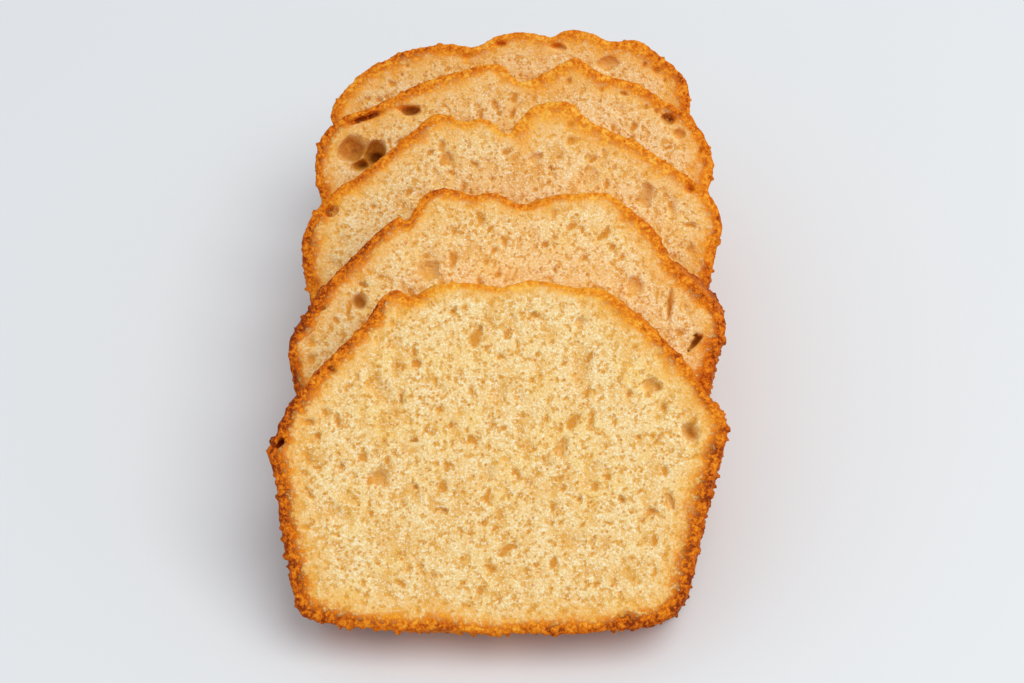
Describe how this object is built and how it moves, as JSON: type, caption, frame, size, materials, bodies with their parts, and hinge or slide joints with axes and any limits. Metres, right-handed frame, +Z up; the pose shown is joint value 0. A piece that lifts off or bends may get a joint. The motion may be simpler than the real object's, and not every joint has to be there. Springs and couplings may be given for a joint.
{
  "type": "sliced vanilla loaf cake",
  "caption": "Row of thick slices from one vanilla loaf cake, leaning back on one another in order, with pale open crumb, browned crust and a rounded end slice at the back.",
  "frame": {"origin": "centre of the bounding box of the whole row, on the surface that it stands on", "axes": "+Y from the front slice to the end of the loaf, the way the slices lean; +Z up; X across the slices"},
  "size_m": [0.1184, 0.188, 0.0726],
  "materials": {
    "cake": "matte cake crumb, pale yellow on the cuts, with golden brown crust round them"
  },
  "bodies": {
    "root": {"slice_1": "cake", "slice_2": "cake", "slice_3": "cake", "slice_4": "cake", "slice_5": "cake"}
  },
  "joints": []
}
